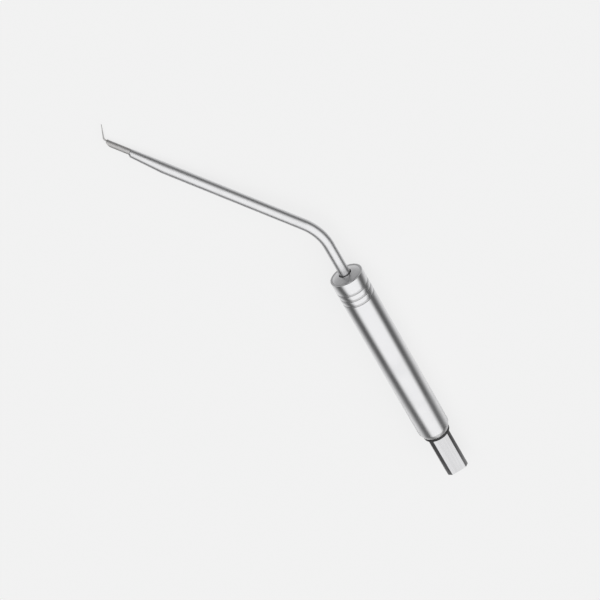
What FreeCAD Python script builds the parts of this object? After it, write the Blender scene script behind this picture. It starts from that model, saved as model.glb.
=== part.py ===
"""Slim all-steel ultrasonic scaler: a handle with its drive coil, and a turning insert with shank and tip.

Millimetres, +Z up. The handle's axis is the X axis. The origin is on that axis, at the handle's rear end,
where the hose connector seats. +X points to the front. The scaler lies on a flat surface at Z = minus the
handle's radius: the handle rests along its length and the working tip rests beside it, towards +Y.
"""
import FreeCAD, Part
import math
import os
import re

import Sketcher

SIZES = {
    # handle sleeve
    "handle_length": 62.6,
    "handle_diameter": 10.0,
    "sleeve_wall": 0.8,
    "rear_wall": 5.0,
    "rear_cone_length": 2.0,
    "rear_end_diameter": 8.3,
    "ring_groove_count": 3,
    "ring_groove_setback": 4.0,
    "ring_groove_pitch": 2.0,
    "ring_groove_width": 0.6,
    "ring_groove_depth": 0.2,
    "edge_break": 0.15,
    # nose ring
    "nose_ring_length": 2.5,
    "nose_ring_step": 0.2,
    "nose_ring_rise": 0.8,
    "shank_gap": 0.25,
    # connector stub, its seal and its contacts
    "stub_length": 15.6,
    "stub_width": 6.9,
    "stub_thickness": 5.4,
    "stub_chamfer": 1.1,
    "stub_bore": 4.4,
    "stub_bore_depth": 12.0,
    "stub_passage": 4.0,
    "thread_diameter": 5.2,
    "seal_thickness": 0.9,
    "seal_bulge": 0.05,
    "insulator_length": 4.5,
    "pin_diameter": 0.6,
    "pin_circle": 3.2,
    "pin_length": 11.0,
    "pin_tail": 1.2,
    "water_inlet_diameter": 1.2,
    "water_tube_diameter": 2.0,
    "water_tube_bore": 0.8,
    "water_tube_recess": 1.5,
    "water_tube_reach": 0.8,
    "key_angle": 25.0,
    # coil former and windings
    "hub_length": 3.0,
    "hub_wall": 0.5,
    "hub_slot": 0.8,
    "rear_flange": 2.0,
    "front_flange": 2.5,
    "former_length": 43.6,
    "former_wall": 0.4,
    "former_play": 0.05,
    "seal_section": 0.45,
    "tube_seal_section": 0.6,
    "drive_winding": 0.55,
    "feedback_winding": 0.3,
    "winding_clearance": 0.15,
    "feedback_coil_length": 6.0,
    "wrap_thickness": 0.1,
    "lead_diameter": 0.3,
    "lead_play": 0.05,
    "lead_bend": 0.5,
    # bushes
    "rear_bush_length": 4.0,
    "rear_bush_wall": 1.2,
    "front_bush_wall": 1.8,
    "bush_play": 0.05,
    "bush_lip": 0.25,
    "thrust_play": 0.1,
    # insert: connecting body and nickel stack
    "neck_step": 0.6,
    "neck_length": 1.6,
    "flange_clearance": 0.6,
    "flange_length": 1.0,
    "front_clearance": 0.3,
    "insert_groove_width": 0.8,
    "insert_seal_section": 0.54,
    "seal_play": 0.01,
    "rear_groove_offset": 0.8,
    "front_groove_offset": 2.5,
    "water_hole": 0.7,
    "water_bore": 1.2,
    "bore_end_wall": 0.3,
    "socket_step": 0.35,
    "socket_depth": 4.5,
    "strip_count": 12,
    "stack_fill": 0.61,
    "strip_gap": 0.05,
    "strip_length": 36.0,
    "end_cap_length": 1.0,
    "end_cap_clearance": 0.3,
    # bent shank
    "shank_diameter": 3.3,
    "shank_vertex": 16.5,
    "bend_angle": 44.15,
    "bend_radius": 13.0,
    "shank_reach": 57.7,
    "taper_length": 10.4,
    "nose_diameter": 2.4,
    "nose_end_diameter": 1.9,
    "nose_length": 0.6,
    "seat_diameter": 1.0,
    "seat_depth": 3.0,
    "outlet_diameter": 0.6,
    "outlet_angle": 17.0,
    # working tip
    "stem_diameter": 1.75,
    "stem_length": 5.0,
    "grind_length": 2.1,
    "grind_left": 0.45,
    "hook_root": 0.6,
    "hook_point": 0.16,
    "hook_run": 0.2,
    "hook_bend": 66.0,
    "hook_radius": 0.9,
    "hook_length": 4.6,
}

# Sizes that follow from others, and places along the handle's axis, from rear to front.
PLACES = {
    "sleeve_bore": "handle_diameter - 2 * sleeve_wall",
    "nose_ring_diameter": "sleeve_bore + 2 * nose_ring_step",
    "feedback_coil_diameter": "sleeve_bore - 2 * winding_clearance",
    "drive_coil_diameter": "feedback_coil_diameter - 2 * feedback_winding",
    "former_tube": "drive_coil_diameter - 2 * drive_winding",
    "former_bore": "former_tube - 2 * former_wall",
    "hub_bore": "former_tube - 2 * hub_wall",
    "strip_width": "stack_fill * former_bore",
    "strip_thickness": "strip_width / strip_count - strip_gap",
    "end_cap_diameter": "former_bore - 2 * end_cap_clearance",
    "rear_journal": "sleeve_bore - 2 * rear_bush_wall",
    "front_journal": "sleeve_bore - 2 * front_bush_wall",
    "flange_diameter": "sleeve_bore - 2 * flange_clearance",
    "neck_diameter": "rear_journal - 2 * neck_step",
    "socket_diameter": "shank_diameter - 2 * socket_step",
    "former_start": "rear_wall + hub_length",
    "winding_start": "rear_wall + hub_length + rear_flange",
    "former_end": "rear_wall + former_length",
    "rear_bush_end": "rear_wall + former_length + rear_bush_length",
    "flange_start": "rear_wall + former_length + rear_bush_length + thrust_play",
    "flange_end": "rear_wall + former_length + rear_bush_length + thrust_play + flange_length",
    "front_bush_start": "rear_wall + former_length + rear_bush_length + 2 * thrust_play + flange_length",
    "nose_ring_start": "handle_length - nose_ring_length",
    "insert_front": "handle_length - nose_ring_length - front_clearance",
    "vertex": "handle_length + shank_vertex",
    "tangent": "bend_radius * tan(bend_angle / 2)",
    "stub_seat": "0 - seal_thickness",
    "stub_end": "0 - stub_length",
    "insulator_start": "stub_bore_depth - stub_length - insulator_length",
    "insulator_end": "stub_bore_depth - stub_length",
    "feedback_coil_end": "winding_start + feedback_coil_length",
    "winding_end": "former_end - front_flange",
    "former_seal_place": "former_end - front_flange / 2",
    "bush_meeting": "rear_bush_end + thrust_play + flange_length / 2",
    "rear_seal_place": "former_end + neck_length + rear_groove_offset + insert_groove_width / 2",
    "front_seal_place": "flange_end + front_groove_offset + insert_groove_width / 2",
    "nose_offset": "shank_diameter / 2 - nose_diameter / 2",
    "nose_end_offset": "shank_diameter / 2 - nose_end_diameter / 2",
    "stem_offset": "shank_diameter / 2 - stem_diameter / 2",
    "taper_start": "shank_reach - taper_length",
    "ground_end": "stem_length + grind_length",
    "tip_reach": "(shank_reach + stem_length + grind_length / 2) * sin(bend_angle)"
                 " - stem_offset * cos(bend_angle)",
    "lie_angle": "asin((handle_diameter - stem_diameter) / 2 / tip_reach) / 1 deg",
}

doc = FreeCAD.newDocument("ultrasonic_scaler")
sheet = doc.addObject("Spreadsheet::Sheet", "sizes")
for row, (alias, figure) in enumerate(SIZES.items(), start=1):
    sheet.set(f"A{row}", alias)
    sheet.set(f"B{row}", str(figure))
    sheet.setAlias(f"B{row}", alias)
reckoner = doc.addObject("App::FeaturePython", "reckoner")
reckoner.addProperty("App::PropertyFloat", "answer")
doc.recompute()

NAMES = re.compile(r"\b(" + "|".join([*SIZES, *PLACES]) + r")\b")


def bound(formula):
    """The formula with each place spelled out and each size pointing at its cell in the sheet."""

    def spelled(match):
        name = match.group(1)
        return f"({bound(PLACES[name])})" if name in PLACES else f"sizes.{name}"

    return NAMES.sub(spelled, str(formula))


def number(formula):
    """What a formula comes to, worked out by the document."""
    reckoner.setExpression("answer", bound(formula))
    reckoner.recompute()
    return reckoner.answer


def new_body(label):
    body = doc.addObject("PartDesign::Body", label)
    body.Label = label
    return body


def sketch_on(body, name, role, offset="0"):
    """A sketch on one of the body's own origin planes, moved along that plane's normal by a formula."""
    sketch = body.newObject("Sketcher::SketchObject", name)
    plane = next(item for item in body.Origin.OriginFeatures if item.Role == role)
    sketch.AttachmentSupport = [(plane, "")]
    sketch.MapMode = "FlatFace"
    sketch.setExpression(".AttachmentOffset.Base.z", bound(offset))
    return sketch


def fix(sketch, kind, *where, formula):
    """Adds a constraint whose value is bound to a formula."""
    index = sketch.addConstraint(Sketcher.Constraint(kind, *where, number(formula)))
    sketch.setExpression(f"Constraints[{index}]", bound(formula))


def draw_outline(sketch, corners):
    """A closed outline of straight edges, each corner held at its two formulas."""
    points = [FreeCAD.Vector(number(across), number(up), 0) for across, up in corners]
    first = sketch.GeometryCount
    count = len(points)
    for i, point in enumerate(points):
        sketch.addGeometry(Part.LineSegment(point, points[(i + 1) % count]), False)
    for i, (across, up) in enumerate(corners):
        sketch.addConstraint(Sketcher.Constraint("Coincident", first + i, 2, first + (i + 1) % count, 1))
        fix(sketch, "DistanceX", -1, 1, first + i, 1, formula=across)
        fix(sketch, "DistanceY", -1, 1, first + i, 1, formula=up)


def draw_circle(sketch, diameter, across="0", up="0"):
    centre = FreeCAD.Vector(number(across), number(up), 0)
    edge = sketch.addGeometry(Part.Circle(centre, FreeCAD.Vector(0, 0, 1), number(diameter) / 2), False)
    fix(sketch, "DistanceX", -1, 1, edge, 3, formula=across)
    fix(sketch, "DistanceY", -1, 1, edge, 3, formula=up)
    fix(sketch, "Diameter", edge, formula=diameter)


def draw_bent_path(sketch, start, runs, bends):
    """Straight runs joined by tangent arcs: runs are lengths, bends are (radius, turn to the left)."""
    here = FreeCAD.Vector(number(start[0]), number(start[1]), 0)
    heading = 0.0
    last = None
    for i, run in enumerate(runs):
        ahead = FreeCAD.Vector(math.cos(heading), math.sin(heading), 0)
        there = here + ahead * number(run)
        line = sketch.addGeometry(Part.LineSegment(here, there), False)
        if last is None:
            fix(sketch, "DistanceX", -1, 1, line, 1, formula=start[0])
            fix(sketch, "DistanceY", -1, 1, line, 1, formula=start[1])
            sketch.addConstraint(Sketcher.Constraint("Horizontal", line))
        else:
            arc, arc_end = last
            sketch.addConstraint(Sketcher.Constraint("Tangent", arc, arc_end, line, 1))
        fix(sketch, "Distance", line, formula=run)
        here = there
        if i == len(bends):
            break
        radius, turn = bends[i]
        angle = math.radians(number(turn))
        side = math.copysign(1, angle)
        centre = here + FreeCAD.Vector(-ahead.y, ahead.x, 0) * (side * number(radius))
        begin = heading - side * math.pi / 2
        low, high = sorted((begin, begin + angle))
        circle = Part.Circle(centre, FreeCAD.Vector(0, 0, 1), number(radius))
        arc = sketch.addGeometry(Part.ArcOfCircle(circle, low, high), False)
        arc_start, arc_end = (1, 2) if side > 0 else (2, 1)
        sketch.addConstraint(Sketcher.Constraint("Tangent", line, 2, arc, arc_start))
        fix(sketch, "Radius", arc, formula=radius)
        index = sketch.addConstraint(Sketcher.Constraint("Angle", arc, abs(angle)))
        sketch.setExpression(f"Constraints[{index}]", bound(f"abs({turn}) * 1 deg"))
        heading += angle
        spun = FreeCAD.Rotation(FreeCAD.Vector(0, 0, 1), math.degrees(angle))
        here = centre + spun.multVec(here - centre)
        last = (arc, arc_end)


def turned(label, outline):
    """A body of revolution about the handle's axis, from (place along the axis, radius) corners."""
    body = new_body(label)
    sketch = sketch_on(body, f"{label}_outline", "XZ_Plane")
    draw_outline(sketch, outline)
    turn = body.newObject("PartDesign::Revolution", f"{label}_turn")
    turn.Profile = sketch
    turn.ReferenceAxis = (sketch, ["H_Axis"])
    return body


def tube(label, start, end, outer, inner):
    """A plain tube between two places, from its two diameters."""
    near, far = f"({inner}) / 2", f"({outer}) / 2"
    return turned(label, [(start, near), (end, near), (end, far), (start, far)])


def seal_ring(label, place, inner, section):
    """An O-ring round the handle's axis, from its inner diameter and its section's diameter."""
    body = new_body(label)
    sketch = sketch_on(body, f"{label}_section", "XZ_Plane")
    draw_circle(sketch, section, across=place, up=f"({inner}) / 2 + ({section}) / 2")
    turn = body.newObject("PartDesign::Revolution", f"{label}_turn")
    turn.Profile = sketch
    turn.ReferenceAxis = (sketch, ["H_Axis"])
    return body


LEAST_CUT = 1e-4


def cut(body, name, sketch, depth, reverse=False, both_ways=False):
    """A pocket, which has to take something away."""
    doc.recompute()
    before = body.Shape.Volume
    pocket = body.newObject("PartDesign::Pocket", name)
    pocket.Profile = sketch
    pocket.Reversed = reverse
    pocket.Midplane = both_ways
    pocket.setExpression("Length", bound(depth))
    doc.recompute()
    if body.Shape.Volume > before - LEAST_CUT:
        raise RuntimeError(f"{name} cuts nothing")


def groove_corners(place, width, surface, floor):
    """The four corners that dip into a turned outline at a ring groove."""
    rear, front = f"{place} - {width} / 2", f"{place} + {width} / 2"
    return [(rear, surface), (rear, floor), (front, floor), (front, surface)]


def make_handle_sleeve():
    bore, outside = "sleeve_bore / 2", "handle_diameter / 2"
    mouth = "nose_ring_diameter / 2"
    outline = [
        ("0", "thread_diameter / 2"),
        ("rear_wall", "thread_diameter / 2"),
        ("rear_wall", bore),
        ("nose_ring_start", bore),
        ("nose_ring_start", mouth),
        ("handle_length", mouth),
        ("handle_length", f"{outside} - edge_break"),
        ("handle_length - edge_break", outside),
    ]
    for ring in range(int(number("ring_groove_count"))):
        place = f"handle_length - ring_groove_setback - {ring} * ring_groove_pitch"
        floor = f"{outside} - ring_groove_depth"
        outline += reversed(groove_corners(place, "ring_groove_width", outside, floor))
    outline += [("rear_cone_length", outside), ("0", "rear_end_diameter / 2")]
    return turned("handle_sleeve", outline)


def make_nose_ring():
    """The ring that closes the handle's mouth, with a low cone on its front."""
    hole = "shank_diameter / 2 + shank_gap"
    edge = "nose_ring_diameter / 2"
    top = "handle_length + nose_ring_rise"
    return turned("nose_ring", [
        ("nose_ring_start", hole),
        (f"{top} - edge_break", hole),
        (top, f"{hole} + edge_break"),
        ("handle_length", edge),
        ("nose_ring_start", edge),
    ])


def make_junction_seal():
    neck, edge = "thread_diameter / 2", "rear_end_diameter / 2"
    return turned("junction_seal", [
        ("stub_seat", neck),
        ("0", neck),
        ("0", edge),
        ("0 - seal_thickness / 4", f"{edge} + seal_bulge"),
        ("0 - seal_thickness * 3 / 4", f"{edge} + seal_bulge"),
        ("stub_seat", edge),
    ])


def make_connector_stub():
    body = new_body("connector_stub")
    half, side, corner = "stub_width / 2", "stub_thickness / 2", "stub_chamfer"
    section = sketch_on(body, "stub_section", "YZ_Plane", "stub_end")
    draw_outline(section, [
        (f"{half} - {corner}", f"0 - {side}"),
        (half, f"{corner} - {side}"),
        (half, f"{side} - {corner}"),
        (f"{half} - {corner}", side),
        (f"{corner} - {half}", side),
        (f"0 - {half}", f"{side} - {corner}"),
        (f"0 - {half}", f"{corner} - {side}"),
        (f"{corner} - {half}", f"0 - {side}"),
    ])
    bar = body.newObject("PartDesign::Pad", "stub_bar")
    bar.Profile = section
    bar.setExpression("Length", bound("stub_length - seal_thickness"))
    spigot_end = sketch_on(body, "spigot_section", "YZ_Plane", "stub_seat")
    draw_circle(spigot_end, "thread_diameter")
    spigot = body.newObject("PartDesign::Pad", "spigot")
    spigot.Profile = spigot_end
    spigot.setExpression("Length", bound("rear_wall + seal_thickness"))
    passage = sketch_on(body, "passage_mouth", "YZ_Plane", "rear_wall")
    draw_circle(passage, "stub_passage")
    cut(body, "passage", passage, "rear_wall + stub_length")
    socket = sketch_on(body, "socket_mouth", "YZ_Plane", "stub_end")
    draw_circle(socket, "stub_bore")
    cut(body, "socket", socket, "stub_bore_depth", reverse=True)
    return body


# the four quarter turns about the handle's axis, as (across, up)
QUARTERS = [(1, 0), (0, 1), (-1, 0), (0, -1)]


def make_contact_insulator():
    body = tube("contact_insulator", "insulator_start", "insulator_end", "stub_bore", "water_tube_diameter")
    holes = sketch_on(body, "pin_holes", "YZ_Plane", "insulator_end")
    for across, up in QUARTERS:
        draw_circle(holes, "pin_diameter", across=f"{across} * pin_circle / 2", up=f"{up} * pin_circle / 2")
    cut(body, "pin_hole_cut", holes, "insulator_length")
    return body


def make_contact_pins():
    """Four round pins, set in the insulator, as one group of separate solids."""
    pins = []
    for count, (across, up) in enumerate(QUARTERS, start=1):
        pin = doc.addObject("Part::Cylinder", f"pin_{count}")
        pin.setExpression("Radius", bound("pin_diameter / 2"))
        pin.setExpression("Height", bound("pin_length"))
        pin.Placement.Rotation = FreeCAD.Rotation(FreeCAD.Vector(0, 1, 0), 90)
        pin.setExpression("Placement.Base.x", bound("insulator_end + pin_tail - pin_length"))
        pin.setExpression("Placement.Base.y", bound(f"{across} * pin_circle / 2"))
        pin.setExpression("Placement.Base.z", bound(f"{up} * pin_circle / 2"))
        pins.append(pin)
    return group("contact_pins", pins)


def group(label, members):
    together = doc.addObject("Part::Compound", label)
    together.Label = label
    together.Links = members
    return together


def make_water_tube():
    """One long tube, thinner where the hose's own tube pushes over it."""
    start, end = "water_tube_recess - stub_length", "winding_start + water_tube_reach"
    inlet, outside = "water_inlet_diameter / 2", "water_tube_diameter / 2"
    return turned("water_tube", [
        (start, "water_tube_bore / 2"),
        (end, "water_tube_bore / 2"),
        (end, outside),
        ("insulator_start", outside),
        ("insulator_start", inlet),
        (start, inlet),
    ])


DRIVE_LEAD_RADIUS = "former_tube / 2 + lead_diameter / 2 + 2 * lead_play"
FEEDBACK_LEAD_RADIUS = "feedback_coil_diameter / 2 - lead_diameter / 2 - lead_play / 2"
# label: (quarter of a turn about the axis, distance from the axis where it meets its winding)
LEADS = {
    "drive_lead_start": (0, DRIVE_LEAD_RADIUS),
    "feedback_lead_start": (1, FEEDBACK_LEAD_RADIUS),
    "drive_lead_finish": (2, DRIVE_LEAD_RADIUS),
    "feedback_lead_finish": (3, FEEDBACK_LEAD_RADIUS),
}


def make_coil_former():
    rim = "sleeve_bore / 2 - former_play"
    wall, bore, hub = "former_tube / 2", "former_bore / 2", "hub_bore / 2"
    hole = "water_tube_diameter / 2"
    pocket_wall = "water_tube_diameter / 2 + tube_seal_section"
    pocket_floor = "winding_start - tube_seal_section"
    groove_floor = "sleeve_bore / 2 - seal_section"
    outline = [
        ("rear_wall", hub),
        ("former_start", hub),
        ("former_start", hole),
        (pocket_floor, hole),
        (pocket_floor, pocket_wall),
        ("winding_start", pocket_wall),
        ("winding_start", bore),
        ("former_end", bore),
        ("former_end", rim),
    ]
    outline += reversed(groove_corners("former_seal_place", "seal_section", rim, groove_floor))
    outline += [
        ("winding_end", rim),
        ("winding_end", wall),
        ("winding_start", wall),
        ("winding_start", rim),
        ("former_start", rim),
        ("former_start", wall),
        ("rear_wall", wall),
    ]
    body = turned("coil_former", outline)
    for role in ("XY_Plane", "XZ_Plane"):
        slot = sketch_on(body, f"hub_slot_{role[:2]}", role)
        low, high = "0 - sleeve_bore / 2", "sleeve_bore / 2"
        draw_outline(slot, [
            ("rear_wall", low),
            ("former_start", low),
            ("former_start", high),
            ("rear_wall", high),
        ])
        cut(body, f"hub_slot_cut_{role[:2]}", slot, "hub_slot", both_ways=True)
    holes = sketch_on(body, "lead_holes", "YZ_Plane", "winding_start")
    for (across, up), (_, reach) in zip(QUARTERS, LEADS.values()):
        draw_circle(holes, "lead_diameter + 2 * lead_play",
                    across=f"{across} * ({reach})", up=f"{up} * ({reach})")
    cut(body, "lead_hole_cut", holes, "rear_flange")
    return body


def make_lead(label, quarter, reach):
    """An enamelled wire from a contact pin, out through a hub slot and forward to its winding."""
    body = new_body(label)
    start, end = "insulator_end + pin_tail", "winding_start"
    rise = f"({reach}) - pin_circle / 2"
    middle = "rear_wall + hub_length / 2"
    path = sketch_on(body, f"{label}_path", "XY_Plane")
    draw_bent_path(path, (start, "pin_circle / 2"), [
        f"{middle} - lead_bend - ({start})",
        f"{rise} - 2 * lead_bend",
        f"{end} - ({middle}) - lead_bend",
    ], [("lead_bend", "90"), ("lead_bend", "-90")])
    section = sketch_on(body, f"{label}_section", "YZ_Plane", start)
    draw_circle(section, "lead_diameter", across="pin_circle / 2")
    wire = body.newObject("PartDesign::AdditivePipe", f"{label}_wire")
    wire.Profile = section
    wire.Spine = path
    turn_about_axis(body, f"90 * {quarter} + key_angle")
    return body


def turn_about_axis(item, angle):
    """Turns a finished piece about the handle's axis, to an angle bound to a formula."""
    item.Placement = FreeCAD.Placement(FreeCAD.Vector(), FreeCAD.Rotation(FreeCAD.Vector(1, 0, 0), 1))
    item.setExpression("Placement.Rotation.Angle", bound(angle))


def make_rear_bush():
    bore, outside = "rear_journal / 2 + bush_play", "sleeve_bore / 2 - former_play"
    return turned("rear_bush", [
        ("former_end", bore),
        ("rear_bush_end", bore),
        ("rear_bush_end", f"{outside} - bush_lip"),
        ("bush_meeting", f"{outside} - bush_lip"),
        ("bush_meeting", outside),
        ("former_end", outside),
    ])


def make_front_bush():
    bore, outside = "front_journal / 2 + bush_play", "sleeve_bore / 2 - former_play"
    return turned("front_bush", [
        ("bush_meeting", f"{outside} - bush_lip"),
        ("front_bush_start", f"{outside} - bush_lip"),
        ("front_bush_start", bore),
        ("nose_ring_start", bore),
        ("nose_ring_start", outside),
        ("bush_meeting", outside),
    ])


def seal_floor(journal):
    """The radius of the groove floor under an insert O-ring that just reaches its bush."""
    return f"{journal} / 2 + bush_play - seal_play - insert_seal_section"


def insert_groove(place, surface, journal):
    return groove_corners(place, "insert_groove_width", surface, seal_floor(journal))


def make_insert_seal(label, place, journal):
    """An O-ring in a journal's groove, which grips the bush when the insert turns."""
    return seal_ring(label, place, f"2 * ({seal_floor(journal)})", "insert_seal_section")


def make_connecting_body():
    neck, rear, front = "neck_diameter / 2", "rear_journal / 2", "front_journal / 2"
    bore, socket = "water_bore / 2", "socket_diameter / 2"
    hole_place = "former_end + neck_length / 2"
    outline = [
        ("former_end + bore_end_wall", "0"),
        ("former_end + bore_end_wall", bore),
        ("insert_front - socket_depth", bore),
        ("insert_front - socket_depth", socket),
        ("insert_front", socket),
        ("insert_front", f"{front} - edge_break"),
        ("insert_front - edge_break", front),
    ]
    outline += reversed(insert_groove("front_seal_place", front, "front_journal"))
    outline += [
        ("flange_end", front),
        ("flange_end", "flange_diameter / 2"),
        ("flange_start", "flange_diameter / 2"),
        ("flange_start", rear),
    ]
    outline += reversed(insert_groove("rear_seal_place", rear, "rear_journal"))
    outline += [
        ("former_end + neck_length", rear),
        ("former_end + neck_length", neck),
        ("former_end", neck),
        ("former_end", "0"),
    ]
    body = turned("connecting_body", outline)
    for role in ("XZ_Plane", "XY_Plane"):
        hole = sketch_on(body, f"water_hole_{role[:2]}", role)
        draw_circle(hole, "water_hole", across=hole_place)
        cut(body, f"water_hole_cut_{role[:2]}", hole, "2 * neck_diameter", both_ways=True)
    return body


def make_nickel_strips():
    """The stack: thin nickel strips side by side, brazed at their ends only."""
    strips = []
    pitch = "(strip_thickness + strip_gap)"
    low = f"0 - (strip_count * {pitch} - strip_gap) / 2"
    for count in range(int(number("strip_count"))):
        strip = doc.addObject("Part::Box", f"strip_{count + 1}")
        strip.setExpression("Length", bound("strip_length"))
        strip.setExpression("Width", bound("strip_width"))
        strip.setExpression("Height", bound("strip_thickness"))
        strip.setExpression("Placement.Base.x", bound("former_end - strip_length"))
        strip.setExpression("Placement.Base.y", bound("0 - strip_width / 2"))
        strip.setExpression("Placement.Base.z", bound(f"{low} + {count} * {pitch}"))
        strips.append(strip)
    return group("nickel_strips", strips)


def make_stack_end_cap():
    end = "former_end - strip_length"
    edge = "end_cap_diameter / 2"
    return turned("stack_end_cap", [
        (f"{end} - end_cap_length", "0"),
        (end, "0"),
        (end, edge),
        (f"{end} - end_cap_length + edge_break", edge),
        (f"{end} - end_cap_length", f"{edge} - edge_break"),
    ])


def sketch_across(body, name, ahead, aside, turn):
    """A sketch square to a line in the XY plane, through the point (ahead, aside), turned left by an angle.

    The sketch's own X points to the line's left.
    """
    sketch = sketch_on(body, name, "YZ_Plane", ahead)
    turned_left = FreeCAD.Rotation(FreeCAD.Vector(0, 1, 0), number(turn))
    sketch.AttachmentOffset = FreeCAD.Placement(FreeCAD.Vector(), turned_left)
    sketch.setExpression(".AttachmentOffset.Base.x", bound(aside))
    sketch.setExpression(".AttachmentOffset.Rotation.Angle", bound(turn))
    return sketch


def sketch_across_shank(body, name, reach, turn="bend_angle"):
    """A sketch square to the outer shank, at a distance from the bend's vertex along it.

    Its own X points to the inside of the bend.
    """
    ahead = f"vertex + ({reach}) * cos(bend_angle)"
    return sketch_across(body, name, ahead, f"({reach}) * sin(bend_angle)", turn)


def shank_spine(body, name, start, reach):
    """The shank's centre line, from a place on the handle's axis to a reach past the bend's vertex."""
    path = sketch_on(body, name, "XY_Plane")
    draw_bent_path(path, (start, "0"), [f"vertex - tangent - ({start})", f"({reach}) - tangent"],
                   [("bend_radius", "bend_angle")])
    return path


def make_bent_shank():
    body = new_body("bent_shank")
    spigot_end = sketch_on(body, "shank_spigot_end", "YZ_Plane", "insert_front - socket_depth")
    draw_circle(spigot_end, "socket_diameter")
    spigot = body.newObject("PartDesign::Pad", "shank_spigot")
    spigot.Profile = spigot_end
    spigot.setExpression("Length", bound("socket_depth"))
    section = sketch_on(body, "shank_section", "YZ_Plane", "insert_front")
    draw_circle(section, "shank_diameter")
    rod = body.newObject("PartDesign::AdditivePipe", "shank_rod")
    rod.Profile = section
    rod.Spine = shank_spine(body, "shank_path", "insert_front", "taper_start")
    sections = []
    for name, reach, diameter, offset in (
        ("taper_thick_end", "taper_start", "shank_diameter", "0"),
        ("taper_thin_end", "shank_reach - nose_length", "nose_diameter", "0 - nose_offset"),
        ("nose_end", "shank_reach", "nose_end_diameter", "0 - nose_end_offset"),
    ):
        circle = sketch_across_shank(body, name, reach)
        draw_circle(circle, diameter, across=offset)
        sections.append(circle)
    for name, start, end in (("shank_taper", *sections[:2]), ("shank_nose", *sections[1:])):
        cone = body.newObject("PartDesign::AdditiveLoft", name)
        cone.Profile = start
        cone.Sections = [end]
    seat = sketch_across_shank(body, "stem_seat", "shank_reach")
    draw_circle(seat, "seat_diameter", across="0 - stem_offset")
    cut(body, "stem_seat_cut", seat, "seat_depth")
    drill_shank(body)
    return body


def drill_shank(body):
    """The water bore along the shank's centre line, and its slanted outlet near the nose."""
    doc.recompute()
    solid = body.Shape.Volume
    bore_end = "shank_reach - seat_depth - water_bore / 2"
    mouth = sketch_on(body, "bore_section", "YZ_Plane", "insert_front - socket_depth")
    draw_circle(mouth, "water_bore")
    bore = body.newObject("PartDesign::SubtractivePipe", "water_bore")
    bore.Profile = mouth
    bore.Spine = shank_spine(body, "bore_path", "insert_front - socket_depth", bore_end)
    doc.recompute()
    if body.Shape.Volume > solid - LEAST_CUT:
        raise RuntimeError("the water bore cuts nothing")
    start = f"{bore_end} - water_bore"
    outlet = sketch_across_shank(body, "outlet_start", start, "bend_angle + outlet_angle")
    draw_circle(outlet, "outlet_diameter")
    cut(body, "outlet", outlet, "shank_diameter * 2", reverse=True)


def tip_seat():
    """The end of the shank, where the working tip sits, once the insert is rolled to its lying angle."""
    reach, turn = number("shank_reach"), number("bend_angle")
    bent = FreeCAD.Rotation(FreeCAD.Vector(0, 0, 1), turn)
    along = bent.multVec(FreeCAD.Vector(reach, -number("stem_offset"), 0))
    place = FreeCAD.Vector(number("vertex"), 0, 0) + along
    rolled = FreeCAD.Rotation(FreeCAD.Vector(1, 0, 0), -number("lie_angle"))
    return FreeCAD.Placement(FreeCAD.Vector(), rolled) * FreeCAD.Placement(place, bent)


def make_working_tip():
    """Round stem with a slanted grind that leaves a fine hook. Its own X runs along the stem."""
    body = new_body("working_tip")
    half = "stem_diameter / 2"
    sketch = sketch_on(body, "stem_outline", "XZ_Plane")
    draw_outline(sketch, [
        ("0 - seat_depth", "0"),
        ("ground_end", "0"),
        ("ground_end", half),
        ("0", half),
        ("0", "seat_diameter / 2"),
        ("0 - seat_depth", "seat_diameter / 2"),
    ])
    stem = body.newObject("PartDesign::Revolution", "stem")
    stem.Profile = sketch
    stem.ReferenceAxis = (sketch, ["H_Axis"])
    grind = sketch_on(body, "grind_outline", "XY_Plane")
    past_end, past_side = "ground_end + grind_length", f"{half} + stem_diameter"
    draw_outline(grind, [
        ("stem_length", half),
        ("ground_end", f"grind_left - {half}"),
        (past_end, f"grind_left - {half}"),
        (past_end, past_side),
        ("stem_length", past_side),
    ])
    cut(body, "grind", grind, "stem_diameter * 2", both_ways=True)
    middle = f"hook_root / 2 - {half}"
    root = sketch_on(body, "hook_root_section", "YZ_Plane", "stem_length")
    draw_circle(root, "hook_root", across=middle)
    path = sketch_on(body, "hook_path", "XY_Plane")
    draw_bent_path(path, ("stem_length", middle), ["grind_length + hook_run", "hook_length"],
                   [("hook_radius", "0 - hook_bend")])
    point = sketch_across(
        body, "hook_point_section",
        "ground_end + hook_run + hook_radius * sin(hook_bend) + hook_length * cos(hook_bend)",
        f"{middle} - hook_radius * (1 - cos(hook_bend)) - hook_length * sin(hook_bend)",
        "0 - hook_bend")
    draw_circle(point, "hook_point")
    hook = body.newObject("PartDesign::AdditivePipe", "hook")
    hook.Profile = root
    hook.Spine = path
    hook.Transformation = "Multisection"
    hook.Sections = [point]
    body.Placement = tip_seat()
    return body


def make_handle():
    """The pieces that stay with the handle, turned so that the stub's flats sit at the key angle."""
    pieces = [
        make_handle_sleeve(),
        make_nose_ring(),
        make_junction_seal(),
        make_connector_stub(),
        make_contact_insulator(),
        make_contact_pins(),
        make_water_tube(),
        make_coil_former(),
        tube("drive_coil", "winding_start", "winding_end", "drive_coil_diameter", "former_tube"),
        tube("feedback_coil", "winding_start", "feedback_coil_end", "feedback_coil_diameter",
             "drive_coil_diameter"),
        tube("coil_wrap", "feedback_coil_end", "winding_end", "drive_coil_diameter + 2 * wrap_thickness",
             "drive_coil_diameter"),
        seal_ring("front_former_seal", "former_seal_place", "sleeve_bore - 2 * seal_section",
                  "seal_section"),
        seal_ring("water_tube_seal", "winding_start - tube_seal_section / 2", "water_tube_diameter",
                  "tube_seal_section"),
        make_rear_bush(),
        make_front_bush(),
    ]
    for piece in pieces:
        turn_about_axis(piece, "key_angle")
    return pieces + [make_lead(label, quarter, reach) for label, (quarter, reach) in LEADS.items()]


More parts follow.
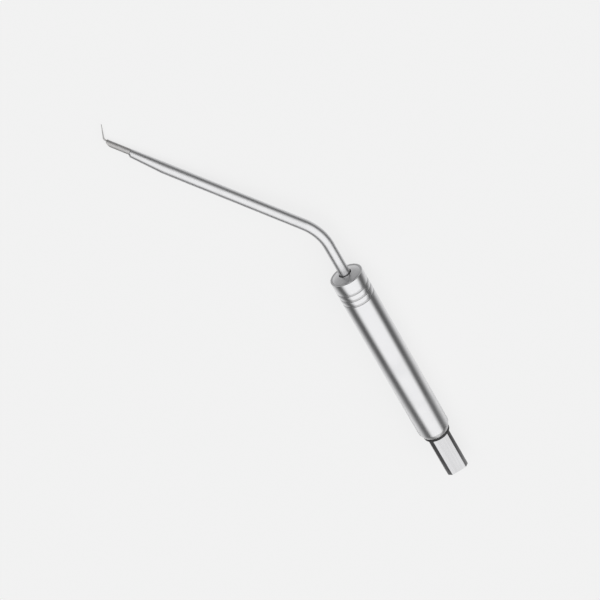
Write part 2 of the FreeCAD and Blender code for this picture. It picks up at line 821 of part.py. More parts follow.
def make_insert():
    """The pieces that turn together in the handle, rolled until the working tip rests level with it."""
    pieces = [
        make_connecting_body(),
        make_nickel_strips(),
        make_stack_end_cap(),
        make_insert_seal("rear_insert_seal", "rear_seal_place", "rear_journal"),
        make_insert_seal("front_insert_seal", "front_seal_place", "front_journal"),
        make_bent_shank(),
    ]
    for piece in pieces:
        turn_about_axis(piece, "0 - lie_angle")
    return pieces + [make_working_tip()]


def check(pieces):
    """Stops if any object failed, or any piece is not one or more sound solids."""
    failed = [item.Name for item in doc.Objects if "Invalid" in item.State or "Error" in item.State]
    failed += [piece.Label for piece in pieces
               if piece.Shape.isNull() or not piece.Shape.isValid() or not piece.Shape.Solids]
    if failed:
        raise RuntimeError(f"these failed: {', '.join(failed)}")


pieces = make_handle() + make_insert()
doc.recompute()
check(pieces)
os.makedirs("parts", exist_ok=True)
for piece in pieces:
    piece.Shape.exportStep(f"parts/{piece.Label}.step")
print(f"{len(pieces)} pieces")
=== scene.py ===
"""Slim all-steel ultrasonic scaler, lying on a pale floor. Metres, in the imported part's own frame."""
import bpy
import math
from mathutils import Matrix, Vector


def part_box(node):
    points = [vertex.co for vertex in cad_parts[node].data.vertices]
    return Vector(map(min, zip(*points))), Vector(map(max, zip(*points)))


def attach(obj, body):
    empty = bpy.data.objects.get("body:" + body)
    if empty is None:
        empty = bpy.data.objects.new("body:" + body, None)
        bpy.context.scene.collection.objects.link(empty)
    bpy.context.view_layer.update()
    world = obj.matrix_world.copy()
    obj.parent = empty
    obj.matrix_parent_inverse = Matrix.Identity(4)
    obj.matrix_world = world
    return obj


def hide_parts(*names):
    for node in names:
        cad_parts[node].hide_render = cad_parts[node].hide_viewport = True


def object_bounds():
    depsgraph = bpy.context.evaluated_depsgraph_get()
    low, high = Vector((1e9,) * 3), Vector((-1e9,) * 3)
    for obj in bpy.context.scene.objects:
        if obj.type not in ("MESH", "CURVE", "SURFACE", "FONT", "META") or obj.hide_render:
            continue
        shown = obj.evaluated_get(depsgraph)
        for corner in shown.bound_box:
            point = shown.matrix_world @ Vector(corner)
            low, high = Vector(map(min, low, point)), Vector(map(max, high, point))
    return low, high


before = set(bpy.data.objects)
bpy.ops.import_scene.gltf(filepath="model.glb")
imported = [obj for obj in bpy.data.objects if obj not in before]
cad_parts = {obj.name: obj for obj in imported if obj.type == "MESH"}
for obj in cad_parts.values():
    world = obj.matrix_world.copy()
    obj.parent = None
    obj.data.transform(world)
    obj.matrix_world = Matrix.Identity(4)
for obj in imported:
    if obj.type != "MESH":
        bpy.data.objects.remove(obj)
cad_box = [list(corner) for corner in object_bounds()]


# ---- Handle sleeve ---------------------------------------------------------------------------------
# A stainless steel tube with its rear wall in one piece, turned on a lathe and polished to a mirror.
# Three narrow ring grooves run round it near the front, and a short cone leads down to the hose seal.
mm = 0.001
micron = 0.001 * mm
low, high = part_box("handle_sleeve")
handle_length = high.x - low.x
handle_radius = (high.y - low.y) / 2
sleeve_wall = 0.8 * mm
sleeve_bore = handle_radius - sleeve_wall
thread_radius = 2.6 * mm
rear_wall = 5 * mm
cone_length = 2 * mm
rear_end_radius = 4.15 * mm
mouth_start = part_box("nose_ring")[0].x
mouth_step = 0.2 * mm
mouth_radius = sleeve_bore + mouth_step
groove_count, groove_setback, groove_pitch = 3, 4 * mm, 2 * mm
groove_width, groove_depth = 0.6 * mm, 0.2 * mm
sleeve_edge = 0.09 * mm
smooth_below = math.radians(35)


def start_piece():
    """Deselects everything, so that the next operators act on the new primitive alone."""
    bpy.ops.object.select_all(action="DESELECT")


def round_edges(size, sharper_than=30, segments=3):
    """In edit mode, rounds every edge that turns more sharply than an angle in degrees."""
    bpy.ops.mesh.select_mode(type="EDGE")
    bpy.ops.mesh.select_all(action="DESELECT")
    bpy.ops.mesh.edges_select_sharp(sharpness=math.radians(sharper_than))
    bpy.ops.mesh.bevel(offset=size, segments=segments, affect="EDGES")


def close_and_face_out():
    """In edit mode, merges coinciding points and turns every face outwards."""
    bpy.ops.mesh.select_all(action="SELECT")
    bpy.ops.mesh.remove_doubles(threshold=micron)
    bpy.ops.mesh.normals_make_consistent(inside=False)


def turn_on_lathe(name, outline, edge, rounds=128):
    """Spins a closed half section of (along, out) corners round the handle's axis, and rounds its edges."""
    start_piece()
    along, out = outline[0]
    bpy.ops.mesh.primitive_plane_add(size=mm, location=(along, out, 0))
    piece = bpy.context.object
    piece.name = name
    bpy.ops.object.transform_apply(location=True, rotation=False, scale=False)
    bpy.ops.object.mode_set(mode="EDIT")
    bpy.ops.mesh.select_mode(type="VERT")
    bpy.ops.mesh.select_all(action="SELECT")
    bpy.ops.mesh.merge(type="CENTER")
    for start, end in zip(outline, outline[1:] + outline[:1]):
        step = (end[0] - start[0], end[1] - start[1], 0)
        bpy.ops.mesh.extrude_region_move(TRANSFORM_OT_translate={"value": step})
    bpy.ops.mesh.select_all(action="SELECT")
    bpy.ops.mesh.remove_doubles(threshold=micron)
    bpy.ops.mesh.spin(steps=rounds, angle=math.tau, center=(0, 0, 0), axis=(1, 0, 0))
    close_and_face_out()
    round_edges(edge)
    bpy.ops.object.mode_set(mode="OBJECT")
    return piece


def put_in_place(piece, body, node, finish):
    """Smooths a finished piece, gives it its finish, and lets it stand for its CAD node."""
    bpy.ops.object.shade_smooth_by_angle(angle=smooth_below)
    piece.data.materials.clear()
    piece.data.materials.append(finish)
    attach(piece, body)
    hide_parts(node)


grooves = []
for ring in reversed(range(groove_count)):
    place = handle_length - groove_setback - ring * groove_pitch
    rear, front = place - groove_width / 2, place + groove_width / 2
    floor_radius = handle_radius - groove_depth
    grooves += [(rear, handle_radius), (rear, floor_radius), (front, floor_radius), (front, handle_radius)]
sleeve = turn_on_lathe("polished_sleeve", [
    (0, thread_radius),
    (0, rear_end_radius),
    (cone_length, handle_radius),
    *grooves,
    (handle_length, handle_radius),
    (handle_length, mouth_radius),
    (mouth_start, mouth_radius),
    (mouth_start, sleeve_bore),
    (rear_wall, sleeve_bore),
    (rear_wall, thread_radius),
], sleeve_edge)


class Value:
    """A shader socket that can be reckoned with."""

    def __init__(self, sheet, socket):
        self.sheet = sheet
        self.socket = socket

    def join(self, operation, first, second):
        return self.sheet.add("ShaderNodeMath", {"operation": operation}, {0: first, 1: second})

    def __add__(self, other):
        return self.join("ADD", self, other)

    __radd__ = __add__

    def __sub__(self, other):
        return self.join("SUBTRACT", self, other)

    def __rsub__(self, other):
        return self.join("SUBTRACT", other, self)

    def __mul__(self, other):
        return self.join("MULTIPLY", self, other)

    __rmul__ = __mul__

    def __truediv__(self, other):
        return self.join("DIVIDE", self, other)

    def __pow__(self, other):
        return self.join("POWER", self, other)

    def __abs__(self):
        return self.sheet.add("ShaderNodeMath", {"operation": "ABSOLUTE"}, {0: self})


class Sheet:
    """The nodes of one finish, or of the studio round the piece."""

    def __init__(self, owner):
        owner.use_nodes = True
        self.tree = owner.node_tree
        self.tree.nodes.clear()

    def add(self, kind, settings=None, inputs=None, output=0):
        """One node: its settings first, then its sockets. Gives back one of its outputs."""
        node = self.tree.nodes.new(kind)
        for key, setting in (settings or {}).items():
            setattr(node, key, setting)
        for key, given in (inputs or {}).items():
            if isinstance(given, Value):
                self.tree.links.new(given.socket, node.inputs[key])
            else:
                node.inputs[key].default_value = given
        return Value(self, node.outputs[output]) if node.outputs else None

    def between(self, value, start, end):
        """0 up to start, 1 from end, and a soft step from one to the other."""
        return self.add("ShaderNodeMapRange", {"interpolation_type": "SMOOTHSTEP"},
                        {"Value": value, "From Min": start, "From Max": end})

    def angle(self, rise, run):
        """The angle of a slope, in radians from -pi to pi."""
        return self.add("ShaderNodeMath", {"operation": "ARCTAN2"}, {0: rise, 1: run})

    def noise(self, size, place, detail=2.0):
        """Cloudy noise, 0 to 1, with lumps of a size in metres."""
        return self.add("ShaderNodeTexNoise", {}, {"Vector": place, "Scale": 1 / size, "Detail": detail})

    def lines(self, pitch, place, detail=2.0):
        """Noise that changes in one direction only, along a value in metres."""
        return self.add("ShaderNodeTexNoise", {"noise_dimensions": "1D"},
                        {"W": place, "Scale": 1 / pitch, "Detail": detail})

    def mix(self, factor, first, second):
        """One colour, then another, by a factor."""
        colours = [c if isinstance(c, Value) else (*c, 1) for c in (first, second)]
        return self.add("ShaderNodeMix", {"data_type": "RGBA"}, {0: factor, 6: colours[0], 7: colours[1]}, 2)


class Finish(Sheet):
    """A material's nodes, with the piece's own coordinates ready for use."""

    def __init__(self, name):
        self.material = bpy.data.materials.new(name)
        super().__init__(self.material)
        self.place = self.add("ShaderNodeTexCoord", output="Object")
        self.along, self.across, self.up = (
            self.add("ShaderNodeSeparateXYZ", {}, {0: self.place}, axis) for axis in range(3))
        self.out = (self.across * self.across + self.up * self.up) ** 0.5

    def stretched(self, along, across, up):
        """The piece's coordinates, with each direction scaled."""
        return self.add("ShaderNodeMapping", {}, {"Vector": self.place, "Scale": (along, across, up)})

    def shade(self, colour, roughness, height, depth, **fixed):
        """The shader itself. Height is carried as bump, to a depth in metres."""
        bump = self.add("ShaderNodeBump", {}, {"Height": height, "Distance": depth})
        sockets = {"Base Color": colour, "Roughness": roughness, "Normal": bump}
        sockets.update({name.replace("_", " "): number for name, number in fixed.items()})
        body = self.add("ShaderNodeBsdfPrincipled", {}, sockets)
        self.add("ShaderNodeOutputMaterial", {}, {"Surface": body})
        return self.material


steel, worn_steel, groove_floor_colour = (0.74, 0.74, 0.75), (0.62, 0.62, 0.63), (0.10, 0.095, 0.09)


def polished_sleeve():
    """Mirror polish: faint turning lines, hand smudges, a few hairline scratches, darker groove floors."""
    finish = Finish("polished sleeve")
    turning = finish.lines(0.16 * mm, finish.along + finish.out)
    smudge = finish.between(finish.noise(9 * mm, finish.place, 3), 0.45, 0.75)
    hairline = finish.between(finish.noise(0.7 * mm, finish.stretched(0.12, 1, 1), 4), 0.66, 0.7)
    # The groove floors are darkened towards a near-black colour and made a little rougher.
    groove_floor = 1 - finish.between(finish.out, handle_radius - groove_depth, handle_radius - 0.5 * groove_depth)
    colour = finish.mix(groove_floor * 0.3, finish.mix(smudge * 0.25, steel, worn_steel), groove_floor_colour)
    roughness = 0.2 + smudge * 0.05 + hairline * 0.05 + turning * 0.02 + groove_floor * 0.1
    return finish.shade(colour, roughness, turning * 0.5 + hairline * 0.5, 0.25 * micron, Metallic=1.0)


put_in_place(sleeve, "handle", "handle_sleeve", polished_sleeve())


# ---- Nose ring -------------------------------------------------------------------------------------
# A threaded steel ring that closes the handle's mouth round the shank and keeps the insert in.
# Its front is a low cone. It is fine turned and left satin, so it carries rings of tool marks.
shank_radius, shank_gap = 1.65 * mm, 0.25 * mm
hole_radius = shank_radius + shank_gap
cone_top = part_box("nose_ring")[1].x
ring_edge = 0.12 * mm

nose_ring = turn_on_lathe("front_nose_ring", [
    (mouth_start, hole_radius),
    (mouth_start, mouth_radius),
    (handle_length, mouth_radius),
    (cone_top, hole_radius),
], ring_edge)


def turned_satin(name, shade, pitch):
    """Fine turned steel: rings of tool marks on the faces and the barrel, duller in patches."""
    finish = Finish(name)
    marks = finish.lines(pitch, finish.along + finish.out, 3)
    patch = finish.noise(2.5 * mm, finish.place)
    colour = finish.mix(marks * 0.5 + patch * 0.3, shade, [0.78 * part for part in shade])
    return finish.shade(colour, 0.26 + marks * 0.1 + patch * 0.06, marks, 1.2 * micron, Metallic=1.0)


put_in_place(nose_ring, "handle", "nose_ring",
             turned_satin("turned face", (0.7, 0.7, 0.71), 0.1 * mm))


# ---- Junction seal ---------------------------------------------------------------------------------
# A moulded black rubber ring, squeezed between the handle's rear end and the connector stub so that
# its rim bulges. It is semi-matt, with a fine flash line where the two halves of its mould met.
seal_thickness = 0.9 * mm
seal_rim = rear_end_radius
seal_bulge, seal_pinch, seal_steps = 0.05 * mm, 0.1 * mm, 10
seal_edge = 0.03 * mm

bulge = []
for step in range(seal_steps + 1):
    share = step / seal_steps
    swell = math.sin(math.pi * share) ** 0.5
    bulge.append((-share * seal_thickness, seal_rim - seal_pinch + (seal_pinch + seal_bulge) * swell))
junction_seal = turn_on_lathe("rear_seal", [
    (-seal_thickness, thread_radius),
    (0, thread_radius),
    *bulge,
], seal_edge)


def moulded_rubber(name, flash_place=None):
    """Semi-matt black rubber: fine pores, a dusty bloom, and a flash line at a place along the axis."""
    finish = Finish(name)
    pores = finish.noise(0.06 * mm, finish.place, 3)
    bloom = finish.between(finish.noise(1.5 * mm, finish.place), 0.4, 0.8)
    height = pores * 0.3
    if flash_place is not None:
        distance = abs(finish.along - flash_place)
        height = height + (1 - finish.between(distance, 0.01 * mm, 0.05 * mm))
    colour = finish.mix(bloom, (0.018, 0.018, 0.019), (0.045, 0.044, 0.043))
    return finish.shade(colour, 0.46 + pores * 0.12 + bloom * 0.1, height, 0.012 * mm)


put_in_place(junction_seal, "handle", "junction_seal",
             moulded_rubber("moulded seal", -seal_thickness / 2))


# ---- Connector stub --------------------------------------------------------------------------------
# A flat-sided steel bar with broken corners that keys into the hose's socket. It is screwed into the
# handle's rear wall by a round spigot, and bored out at its end for the contacts. Drawn, not turned:
# fine streaks run along its flats.
low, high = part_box("connector_stub")
stub_end = low.x
stub_width, stub_height, stub_chamfer = 6.9 * mm, 5.4 * mm, 1.1 * mm
stub_length = -seal_thickness - stub_end
socket_radius, socket_depth, passage_radius = 2.2 * mm, 12 * mm, 2 * mm
stub_edge = 0.1 * mm
key_angle = math.radians(25)


def add_rod(name, radius, start, end, sides=96):
    """A plain rod along the handle's axis, as stock to join on or to drill with."""
    start_piece()
    bpy.ops.mesh.primitive_cylinder_add(vertices=sides, radius=radius, depth=end - start,
                                        location=((start + end) / 2, 0, 0), rotation=(0, math.pi / 2, 0))
    rod = bpy.context.object
    rod.name = name
    bpy.ops.object.transform_apply(location=True, rotation=True, scale=True)
    return rod


def work_with(piece, tool, operation):
    """Joins the tool to the piece, or cuts the piece with it, and clears the tool away."""
    cut = piece.modifiers.new("cut", "BOOLEAN")
    cut.operation = operation
    cut.object = tool
    start_piece()
    bpy.context.view_layer.objects.active = piece
    piece.select_set(True)
    bpy.ops.object.modifier_apply(modifier=cut.name)
    bpy.data.objects.remove(tool)


start_piece()
bpy.ops.mesh.primitive_cube_add(size=1, location=(stub_end + stub_length / 2, 0, 0))
stub = bpy.context.object
stub.name = "keyed_stub"
stub.scale = (stub_length, stub_width, stub_height)
bpy.ops.object.transform_apply(location=True, rotation=False, scale=True)
bpy.ops.object.mode_set(mode="EDIT")
bpy.ops.mesh.select_mode(type="EDGE")
bpy.ops.mesh.select_all(action="DESELECT")
bpy.ops.object.mode_set(mode="OBJECT")
for edge in stub.data.edges:
    first, second = (stub.data.vertices[index].co for index in edge.vertices)
    edge.select = abs(first.x - second.x) > stub_length / 2
bpy.ops.object.mode_set(mode="EDIT")
bpy.ops.mesh.bevel(offset=stub_chamfer, segments=1, affect="EDGES")
bpy.ops.object.mode_set(mode="OBJECT")
work_with(stub, add_rod("spigot", thread_radius, -2 * seal_thickness, rear_wall), "UNION")
work_with(stub, add_rod("passage_drill", passage_radius, stub_end - mm, rear_wall + mm), "DIFFERENCE")
work_with(stub, add_rod("socket_drill", socket_radius, stub_end - mm, stub_end + socket_depth), "DIFFERENCE")
bpy.ops.object.mode_set(mode="EDIT")
close_and_face_out()
round_edges(stub_edge, segments=2)
bpy.ops.object.mode_set(mode="OBJECT")
stub.rotation_euler.x = key_angle
bpy.ops.object.transform_apply(location=False, rotation=True, scale=False)


def drawn_steel(name, shade, streak, painted_chamfer_reflection=0.0):
    """Drawn and polished bar: streaks along it, duller where a socket rubs, painted dark reflection on broken
    corners.
    """
    finish = Finish(name)
    streaks = finish.noise(streak, finish.stretched(0.02, 1, 1), 3)
    broad = finish.between(finish.noise(4 * streak, finish.stretched(0.04, 1, 1)), 0.3, 0.7)
    rubbed = finish.between(finish.noise(3 * mm, finish.place, 3), 0.4, 0.7)
    colour = finish.mix(streaks * 0.4 + broad * 0.3, shade, [0.62 * part for part in shade])
    # Painted dark reflection: the colour on the chamfers is darkened, standing in for the dark they mirror.
    if painted_chamfer_reflection:
        level = finish.add("ShaderNodeMapping", {"vector_type": "TEXTURE"},
                           {"Vector": finish.place, "Rotation": (key_angle, 0, 0)})
        width = abs(finish.add("ShaderNodeSeparateXYZ", {}, {0: level}, 1))
        flat_edge = stub_width / 2 - stub_chamfer
        dark = finish.between(width, flat_edge, flat_edge + 0.15 * mm) * painted_chamfer_reflection
        colour = finish.mix(dark, colour, [0.3 * part for part in shade])
    roughness = 0.2 + streaks * 0.08 + rubbed * 0.08
    return finish.shade(colour, roughness, streaks + broad, 0.6 * micron, Metallic=1.0)


# The stub's chamfers carry a painted dark reflection.
put_in_place(stub, "handle", "connector_stub",
             drawn_steel("drawn bar", (0.73, 0.73, 0.74), 0.35 * mm, painted_chamfer_reflection=0.7))


# ---- Contacts --------------------------------------------------------------------------------------
# Four gold-plated pins with rounded ends stand in a grey moulded insulator, deep in the stub's socket.
# A thin drawn tube through the middle carries the cooling water; the hose's tube pushes over it.
pin_count, pin_radius, pin_circle, pin_nose, pin_sides = 4, 0.3 * mm, 1.6 * mm, 0.22 * mm, 32
low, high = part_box("contact_pins")

pins = []
for number in range(pin_count):
    turn = key_angle + number * math.tau / pin_count
    pin = add_rod("contact_pin", pin_radius, low.x, high.x, pin_sides)
    bpy.ops.object.mode_set(mode="EDIT")
    round_edges(pin_nose, sharper_than=60, segments=4)
    bpy.ops.object.mode_set(mode="OBJECT")
    pin.location = (0, pin_circle * math.cos(turn), pin_circle * math.sin(turn))
    bpy.ops.object.transform_apply(location=True, rotation=False, scale=False)
    pins.append(pin)
start_piece()
for pin in pins:
    pin.select_set(True)
bpy.context.view_layer.objects.active = pins[0]
bpy.ops.object.join()
contact_pins = bpy.context.object
contact_pins.name = "gold_pins"


def plated_gold():
    """Gold plating over nickel, rubbed through in places where the hose's contacts slide."""
    finish = Finish("plated gold")
    slide = finish.noise(0.08 * mm, finish.stretched(0.06, 1, 1), 3)
    worn = finish.between(finish.noise(0.8 * mm, finish.place, 3) + slide * 0.3, 0.72, 0.86)
    colour = finish.mix(worn, (0.85, 0.6, 0.24), (0.66, 0.62, 0.55))
    return finish.shade(colour, 0.22 + slide * 0.15 + worn * 0.1, slide, 0.6 * micron, Metallic=1.0)


put_in_place(contact_pins, "handle", "contact_pins", plated_gold())


def dress(finish, *names):
    """Gives CAD nodes whose shape is right their finish."""
    for name in names:
        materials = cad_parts[name].data.materials
        materials.clear()
        materials.append(finish)


def moulded_plastic(name, light, dark, grain, roughness):
    """Filled moulding or machined stock: speckled all through, with faint tool or mould lines."""
    finish = Finish(name)
    speckle = finish.noise(grain, finish.place, 4)
    marks = finish.lines(0.09 * mm, finish.along + finish.out)
    stain = finish.noise(3 * mm, finish.place)
    colour = finish.mix(speckle * 0.7 + stain * 0.4 - 0.1, light, dark)
    return finish.shade(colour, roughness + speckle * 0.15, speckle * 0.4 + marks, 2.5 * micron)


grey_moulding = moulded_plastic("grey moulding", (0.3, 0.31, 0.32), (0.17, 0.175, 0.18), 0.05 * mm, 0.45)
dress(grey_moulding, "contact_insulator")
dress(drawn_steel("drawn tube", (0.66, 0.66, 0.67), 0.05 * mm), "water_tube")


# ---- Coil former, windings and leads ---------------------------------------------------------------
# Inside the handle a machined cream plastic former carries a drive coil of fine enamelled copper wire
# under an amber film, and a short feedback coil over its rear end. Four wires of the same kind run
# from the pins, through slots in the former's hub, to the windings.
wire_pitch = 0.12 * mm


def wound_wire(name, direction):
    """Close turns of enamelled wire in a helix either way, each turn its own tone, painted shade between
    turns.
    """
    finish = Finish(name)
    angle = finish.angle(finish.up, finish.across)
    turns = finish.along / wire_pitch + angle * (direction / math.tau)
    ridge = finish.add("ShaderNodeMath", {"operation": "PINGPONG"}, {0: turns, 1: 0.5}) * 2
    crown = (1.001 - (1 - ridge) * (1 - ridge)) ** 0.5
    shade = finish.lines(mm, turns * mm)
    sheen = finish.noise(4 * mm, finish.place)
    copper = finish.mix(shade * 0.8 + sheen * 0.4 - 0.1, (0.66, 0.27, 0.1), (0.38, 0.13, 0.05))
    # Painted shade: between turns, where the crown falls away, the colour goes nearly black.
    colour = finish.mix(crown, (0.06, 0.02, 0.01), copper)
    return finish.shade(colour, 0.26 + sheen * 0.12, crown, 0.03 * mm, Metallic=0.85, Coat_Weight=0.6)


def enamelled_wire():
    """A single enamelled wire: drawing lines along it and uneven varnish."""
    finish = Finish("enamelled wire")
    varnish = finish.noise(0.5 * mm, finish.place, 3)
    drawing = finish.noise(0.04 * mm, finish.stretched(0.1, 1, 1))
    colour = finish.mix(varnish, (0.68, 0.28, 0.1), (0.42, 0.15, 0.05))
    return finish.shade(colour, 0.24 + varnish * 0.14, drawing + varnish, 0.8 * micron,
                        Metallic=0.85, Coat_Weight=0.6)


def polyimide_film():
    """One wrap of thin amber film: small wrinkles, and a raised edge where it laps over itself."""
    finish = Finish("amber film")
    wrinkle = finish.noise(0.9 * mm, finish.stretched(1, 0.35, 0.35), 3)
    angle = finish.angle(finish.up, finish.across)
    lap = finish.between(angle, 1.18, 1.2) * (1 - finish.between(angle, 1.55, 1.57))
    colour = finish.mix(lap * 0.6 + wrinkle * 0.3, (0.72, 0.38, 0.08), (0.46, 0.2, 0.03))
    return finish.shade(colour, 0.14 + wrinkle * 0.12, wrinkle * 0.4 + lap, 0.03 * mm, Coat_Weight=0.5)


cream_plastic = moulded_plastic("machined cream plastic", (0.74, 0.65, 0.5), (0.6, 0.5, 0.36), 0.12 * mm, 0.4)
dress(cream_plastic, "coil_former", "rear_bush", "front_bush")
dress(wound_wire("drive winding", 1), "drive_coil")
dress(wound_wire("feedback winding", -1), "feedback_coil")
dress(polyimide_film(), "coil_wrap")
dress(enamelled_wire(),
      "drive_lead_start", "drive_lead_finish", "feedback_lead_start", "feedback_lead_finish")
dress(moulded_rubber("ring rubber"),
      "front_former_seal", "water_tube_seal", "rear_insert_seal", "front_insert_seal")


# ---- Insert: connecting body and nickel stack ------------------------------------------------------
# The insert that turns in the handle: a turned steel body with two ring seals runs in the bushes, and
# behind it a stack of rolled nickel strips, brazed into it and closed by a small cap, reaches into
# the coil. It shakes the tip by magnetostriction.
stack_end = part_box("nickel_strips")[1].x


def rolled_nickel(name, streak):
    """Rolled and annealed strip: lines along it, and straw colour where the heat of brazing reached."""
    finish = Finish(name)
    rolling = finish.noise(streak, finish.stretched(0.03, 1, 1), 3)
    tint = finish.noise(2 * mm, finish.place)
    brazed = finish.between(finish.along, stack_end - 2.5 * mm, stack_end)
    strip = finish.mix(rolling * 0.5 + tint * 0.4, (0.66, 0.62, 0.55), (0.48, 0.45, 0.4))
    colour = finish.mix(brazed * 0.6, strip, (0.5, 0.36, 0.2))
    return finish.shade(colour, 0.3 + rolling * 0.12, rolling, 1.2 * micron, Metallic=1.0)


dress(turned_satin("turned body", (0.64, 0.64, 0.65), 0.14 * mm), "connecting_body")
dress(rolled_nickel("rolled nickel", 0.08 * mm), "nickel_strips", "stack_end_cap")


# ---- Bent shank ------------------------------------------------------------------------------------
# A polished steel rod, bent once while cold, then tapered on its inner side and shouldered at its
# nose. A thinner spigot behind holds it in the insert's body. Near the nose a slanted hole lets the
# water out, and the working tip's peg sits in a hole in its end.
spigot_start, spigot_end, spigot_radius = 55.3 * mm, 59.8 * mm, 1.3 * mm
bend_angle, bend_radius, bend_steps = math.radians(44.15), 13 * mm, 32
shank_reach, taper_length, nose_length = 57.7 * mm, 10.4 * mm, 0.6 * mm
taper_end_radius, nose_end_radius = 1.2 * mm, 0.95 * mm
peg_radius, peg_depth = 0.5 * mm, 3 * mm
outlet_radius, outlet_reach, outlet_slant = 0.3 * mm, 53 * mm, math.radians(17)
stem_radius = 0.875 * mm
shank_edge, shank_sides, drill_sides = 0.12 * mm, 64, 48
vertex_reach = 16.5 * mm
lie_angle = math.radians(5.4)
bend_vertex = handle_length + vertex_reach
ahead = Vector((math.cos(bend_angle), math.sin(bend_angle), 0))
inward = Vector((-ahead.y, ahead.x, 0))
bend_start = bend_vertex - bend_radius * math.tan(bend_angle / 2)


def outer_line(reach):
    """The point on the shank's outer side at a reach past the vertex of its bend."""
    return Vector((bend_vertex, 0, 0)) + ahead * reach - inward * shank_radius


def draw_out(step, scale=1.0, about=(0, 0, 0)):
    """In edit mode, extrudes the open end by a step and scales it about a point."""
    bpy.ops.mesh.extrude_region_move(TRANSFORM_OT_translate={"value": step})
    bpy.ops.transform.resize(value=(scale, scale, scale), center_override=about)


start_piece()
bpy.ops.mesh.primitive_circle_add(vertices=shank_sides, radius=spigot_radius, location=(spigot_start, 0, 0),
                                  rotation=(0, math.pi / 2, 0))
shank = bpy.context.object
shank.name = "polished_shank"
bpy.ops.object.transform_apply(location=True, rotation=True, scale=True)
bpy.ops.object.mode_set(mode="EDIT")
bpy.ops.mesh.select_mode(type="VERT")
bpy.ops.mesh.select_all(action="SELECT")
draw_out((spigot_end - spigot_start, 0, 0))
draw_out((0, 0, 0), shank_radius / spigot_radius, (spigot_end, 0, 0))
draw_out((bend_start - spigot_end, 0, 0))
bpy.ops.mesh.spin(steps=bend_steps, angle=bend_angle, center=(bend_start, bend_radius, 0), axis=(0, 0, -1))
draw_out(ahead * (shank_reach - taper_length - bend_radius * math.tan(bend_angle / 2)))
draw_out(ahead * (taper_length - nose_length), taper_end_radius / shank_radius,
         outer_line(shank_reach - nose_length))
draw_out(ahead * nose_length, nose_end_radius / taper_end_radius, outer_line(shank_reach))
bpy.ops.mesh.select_all(action="SELECT")
bpy.ops.mesh.fill_holes(sides=0)
close_and_face_out()
round_edges(shank_edge, sharper_than=15)
bpy.ops.object.mode_set(mode="OBJECT")

peg_hole = add_rod("peg_drill", peg_radius, -peg_depth, mm, drill_sides)
peg_hole.rotation_euler.z = bend_angle
peg_hole.location = outer_line(shank_reach) + inward * stem_radius
bpy.ops.object.transform_apply(location=True, rotation=True, scale=False)
work_with(shank, peg_hole, "DIFFERENCE")
outlet = add_rod("outlet_drill", outlet_radius, 0, 2 * taper_length, drill_sides)
outlet.rotation_euler.z = bend_angle + outlet_slant
outlet.location = outer_line(outlet_reach) + inward * shank_radius
bpy.ops.object.transform_apply(location=True, rotation=True, scale=False)
work_with(shank, outlet, "DIFFERENCE")
shank.rotation_euler.x = -lie_angle
bpy.ops.object.transform_apply(location=False, rotation=True, scale=False)


def polished_rod():
    """A hand-polished rod: very fine wandering scratches, soft smudges, and a duller nose."""
    finish = Finish("polished rod")
    fine = finish.noise(0.25 * mm, finish.stretched(0.3, 0.3, 1), 3)
    smudge = finish.between(finish.noise(5 * mm, finish.place, 3), 0.42, 0.72)
    nose = finish.between(finish.across, 35 * mm, 40 * mm)
    colour = finish.mix(smudge * 0.15 + fine * 0.1 + nose * 0.15, (0.76, 0.76, 0.77), (0.6, 0.6, 0.61))
    roughness = 0.32 + smudge * 0.03 + fine * 0.03 + nose * 0.02
    return finish.shade(colour, roughness, fine, 0.06 * micron, Metallic=1.0)


put_in_place(shank, "insert", "bent_shank", polished_rod())


# ---- Working tip -----------------------------------------------------------------------------------
# A harder steel stem, pressed into the shank by its peg and ground away on a slant, which leaves a
# fine hook. It keeps the grey of the grinding wheel, and a faint brown from tempering.


def ground_steel():
    """Ground and hardened steel: grinding lines across it and a faint brown tint from tempering."""
    finish = Finish("ground steel")
    grinding = finish.lines(0.05 * mm, finish.along + finish.across * 0.6, 3)
    tint = finish.noise(1.2 * mm, finish.place)
    colour = finish.mix(tint, (0.6, 0.6, 0.61), (0.5, 0.48, 0.46))
    return finish.shade(colour, 0.46 + grinding * 0.12, grinding, 1.0 * micron, Metallic=1.0)


dress(ground_steel(), "working_tip")


# ---- Floor -----------------------------------------------------------------------------------------
# A pale matt sheet that glows a little, as a lit backdrop does. It stays out of the steel's mirror.
start_piece()
floor_size, floor_middle = 6, (0.06, 0.02)
bpy.ops.mesh.primitive_plane_add(size=floor_size, location=(*floor_middle, cad_box[0][2]))
floor = bpy.context.object
floor.name = "floor"
bpy.ops.object.transform_apply(location=True, rotation=False, scale=False)
floor.visible_glossy = False
pale_floor = bpy.data.materials.new("pale floor")
sheet = Sheet(pale_floor)
glow = sheet.add("ShaderNodeBsdfPrincipled", {}, {
    "Base Color": (0.14, 0.14, 0.14, 1), "Roughness": 0.9, "Specular IOR Level": 0.0,
    "Emission Color": (1, 1, 1, 1), "Emission Strength": 0.767})
sheet.add("ShaderNodeOutputMaterial", {}, {"Surface": glow})
floor.data.materials.append(pale_floor)


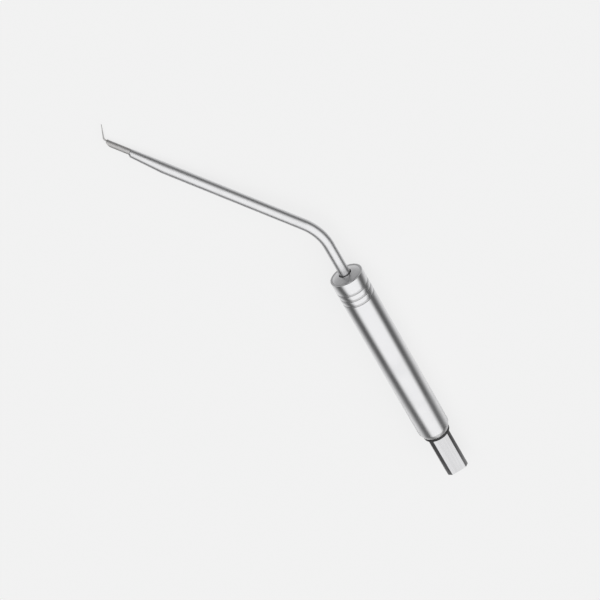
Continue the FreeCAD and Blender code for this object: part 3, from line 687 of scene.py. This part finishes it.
# ---- Studio ----------------------------------------------------------------------------------------
# A long soft box lies above the handle, dark cloth hangs on both sides of it, and the pale table
# below lights the underside. In front of the nose both lights fall off.
facing, beside = Vector((0, -0.413, 0.911)), Vector((0, -0.911, -0.413))
lean = 4
box_half, cloth_start = 39, 72
cloth_end, table_start = 82, 140
cloth_level, box_level, table_level, far_table_level = 0.13, 1.02, 0.74, 0.4
box_fade, box_skew, table_fade = (0.6, 0.8), 0.15, (0.3, 0.5)
backdrop = (0.88, 0.88, 0.88)

world = bpy.data.worlds.new("studio")
bpy.context.scene.world = world
sky = Sheet(world)
heading = sky.add("ShaderNodeTexCoord", output="Generated")


def along(direction):
    """How far the view's direction points along another."""
    return sky.add("ShaderNodeVectorMath", {"operation": "DOT_PRODUCT"}, {0: heading, 1: direction}, 1)


ahead, side = along(Vector((1, 0, 0))), along(beside)
turn = abs(sky.angle(side, along(facing)) * math.degrees(1) + lean)
box_end = sky.between(ahead + side * box_skew, *box_fade)
soft_box = (1 - sky.between(turn, box_half, cloth_start)) * (1 - box_end)
far = sky.between(ahead, *table_fade)
table = sky.between(turn, cloth_end, table_start) * (table_level - far * (table_level - far_table_level))
level = cloth_level + soft_box * box_level + table
shown = sky.mix(sky.add("ShaderNodeLightPath"), level, backdrop)
sky.add("ShaderNodeOutputWorld", {}, {"Surface": sky.add("ShaderNodeBackground", {}, {"Color": shown})})


# ---- Camera ----------------------------------------------------------------------------------------
# A long lens, above the handle and to its left, rolled so that the handle lies across the view.
right, up, back = (-0.4398, -0.8907, -0.1150), (0.7368, -0.2847, -0.6133), (0.5135, -0.3545, 0.7815)
camera_data = bpy.data.cameras.new("camera")
camera_data.sensor_width = 36
camera_data.lens = 125.52
camera_data.clip_start = 0.01
camera = bpy.data.objects.new("camera", camera_data)
bpy.context.scene.collection.objects.link(camera)
camera.matrix_world = Matrix.LocRotScale(
    Vector((0.36856, -0.19717, 0.47066)), Matrix((right, up, back)).transposed(), None)
bpy.context.scene.camera = camera
bpy.context.scene.view_settings.view_transform = "Standard"
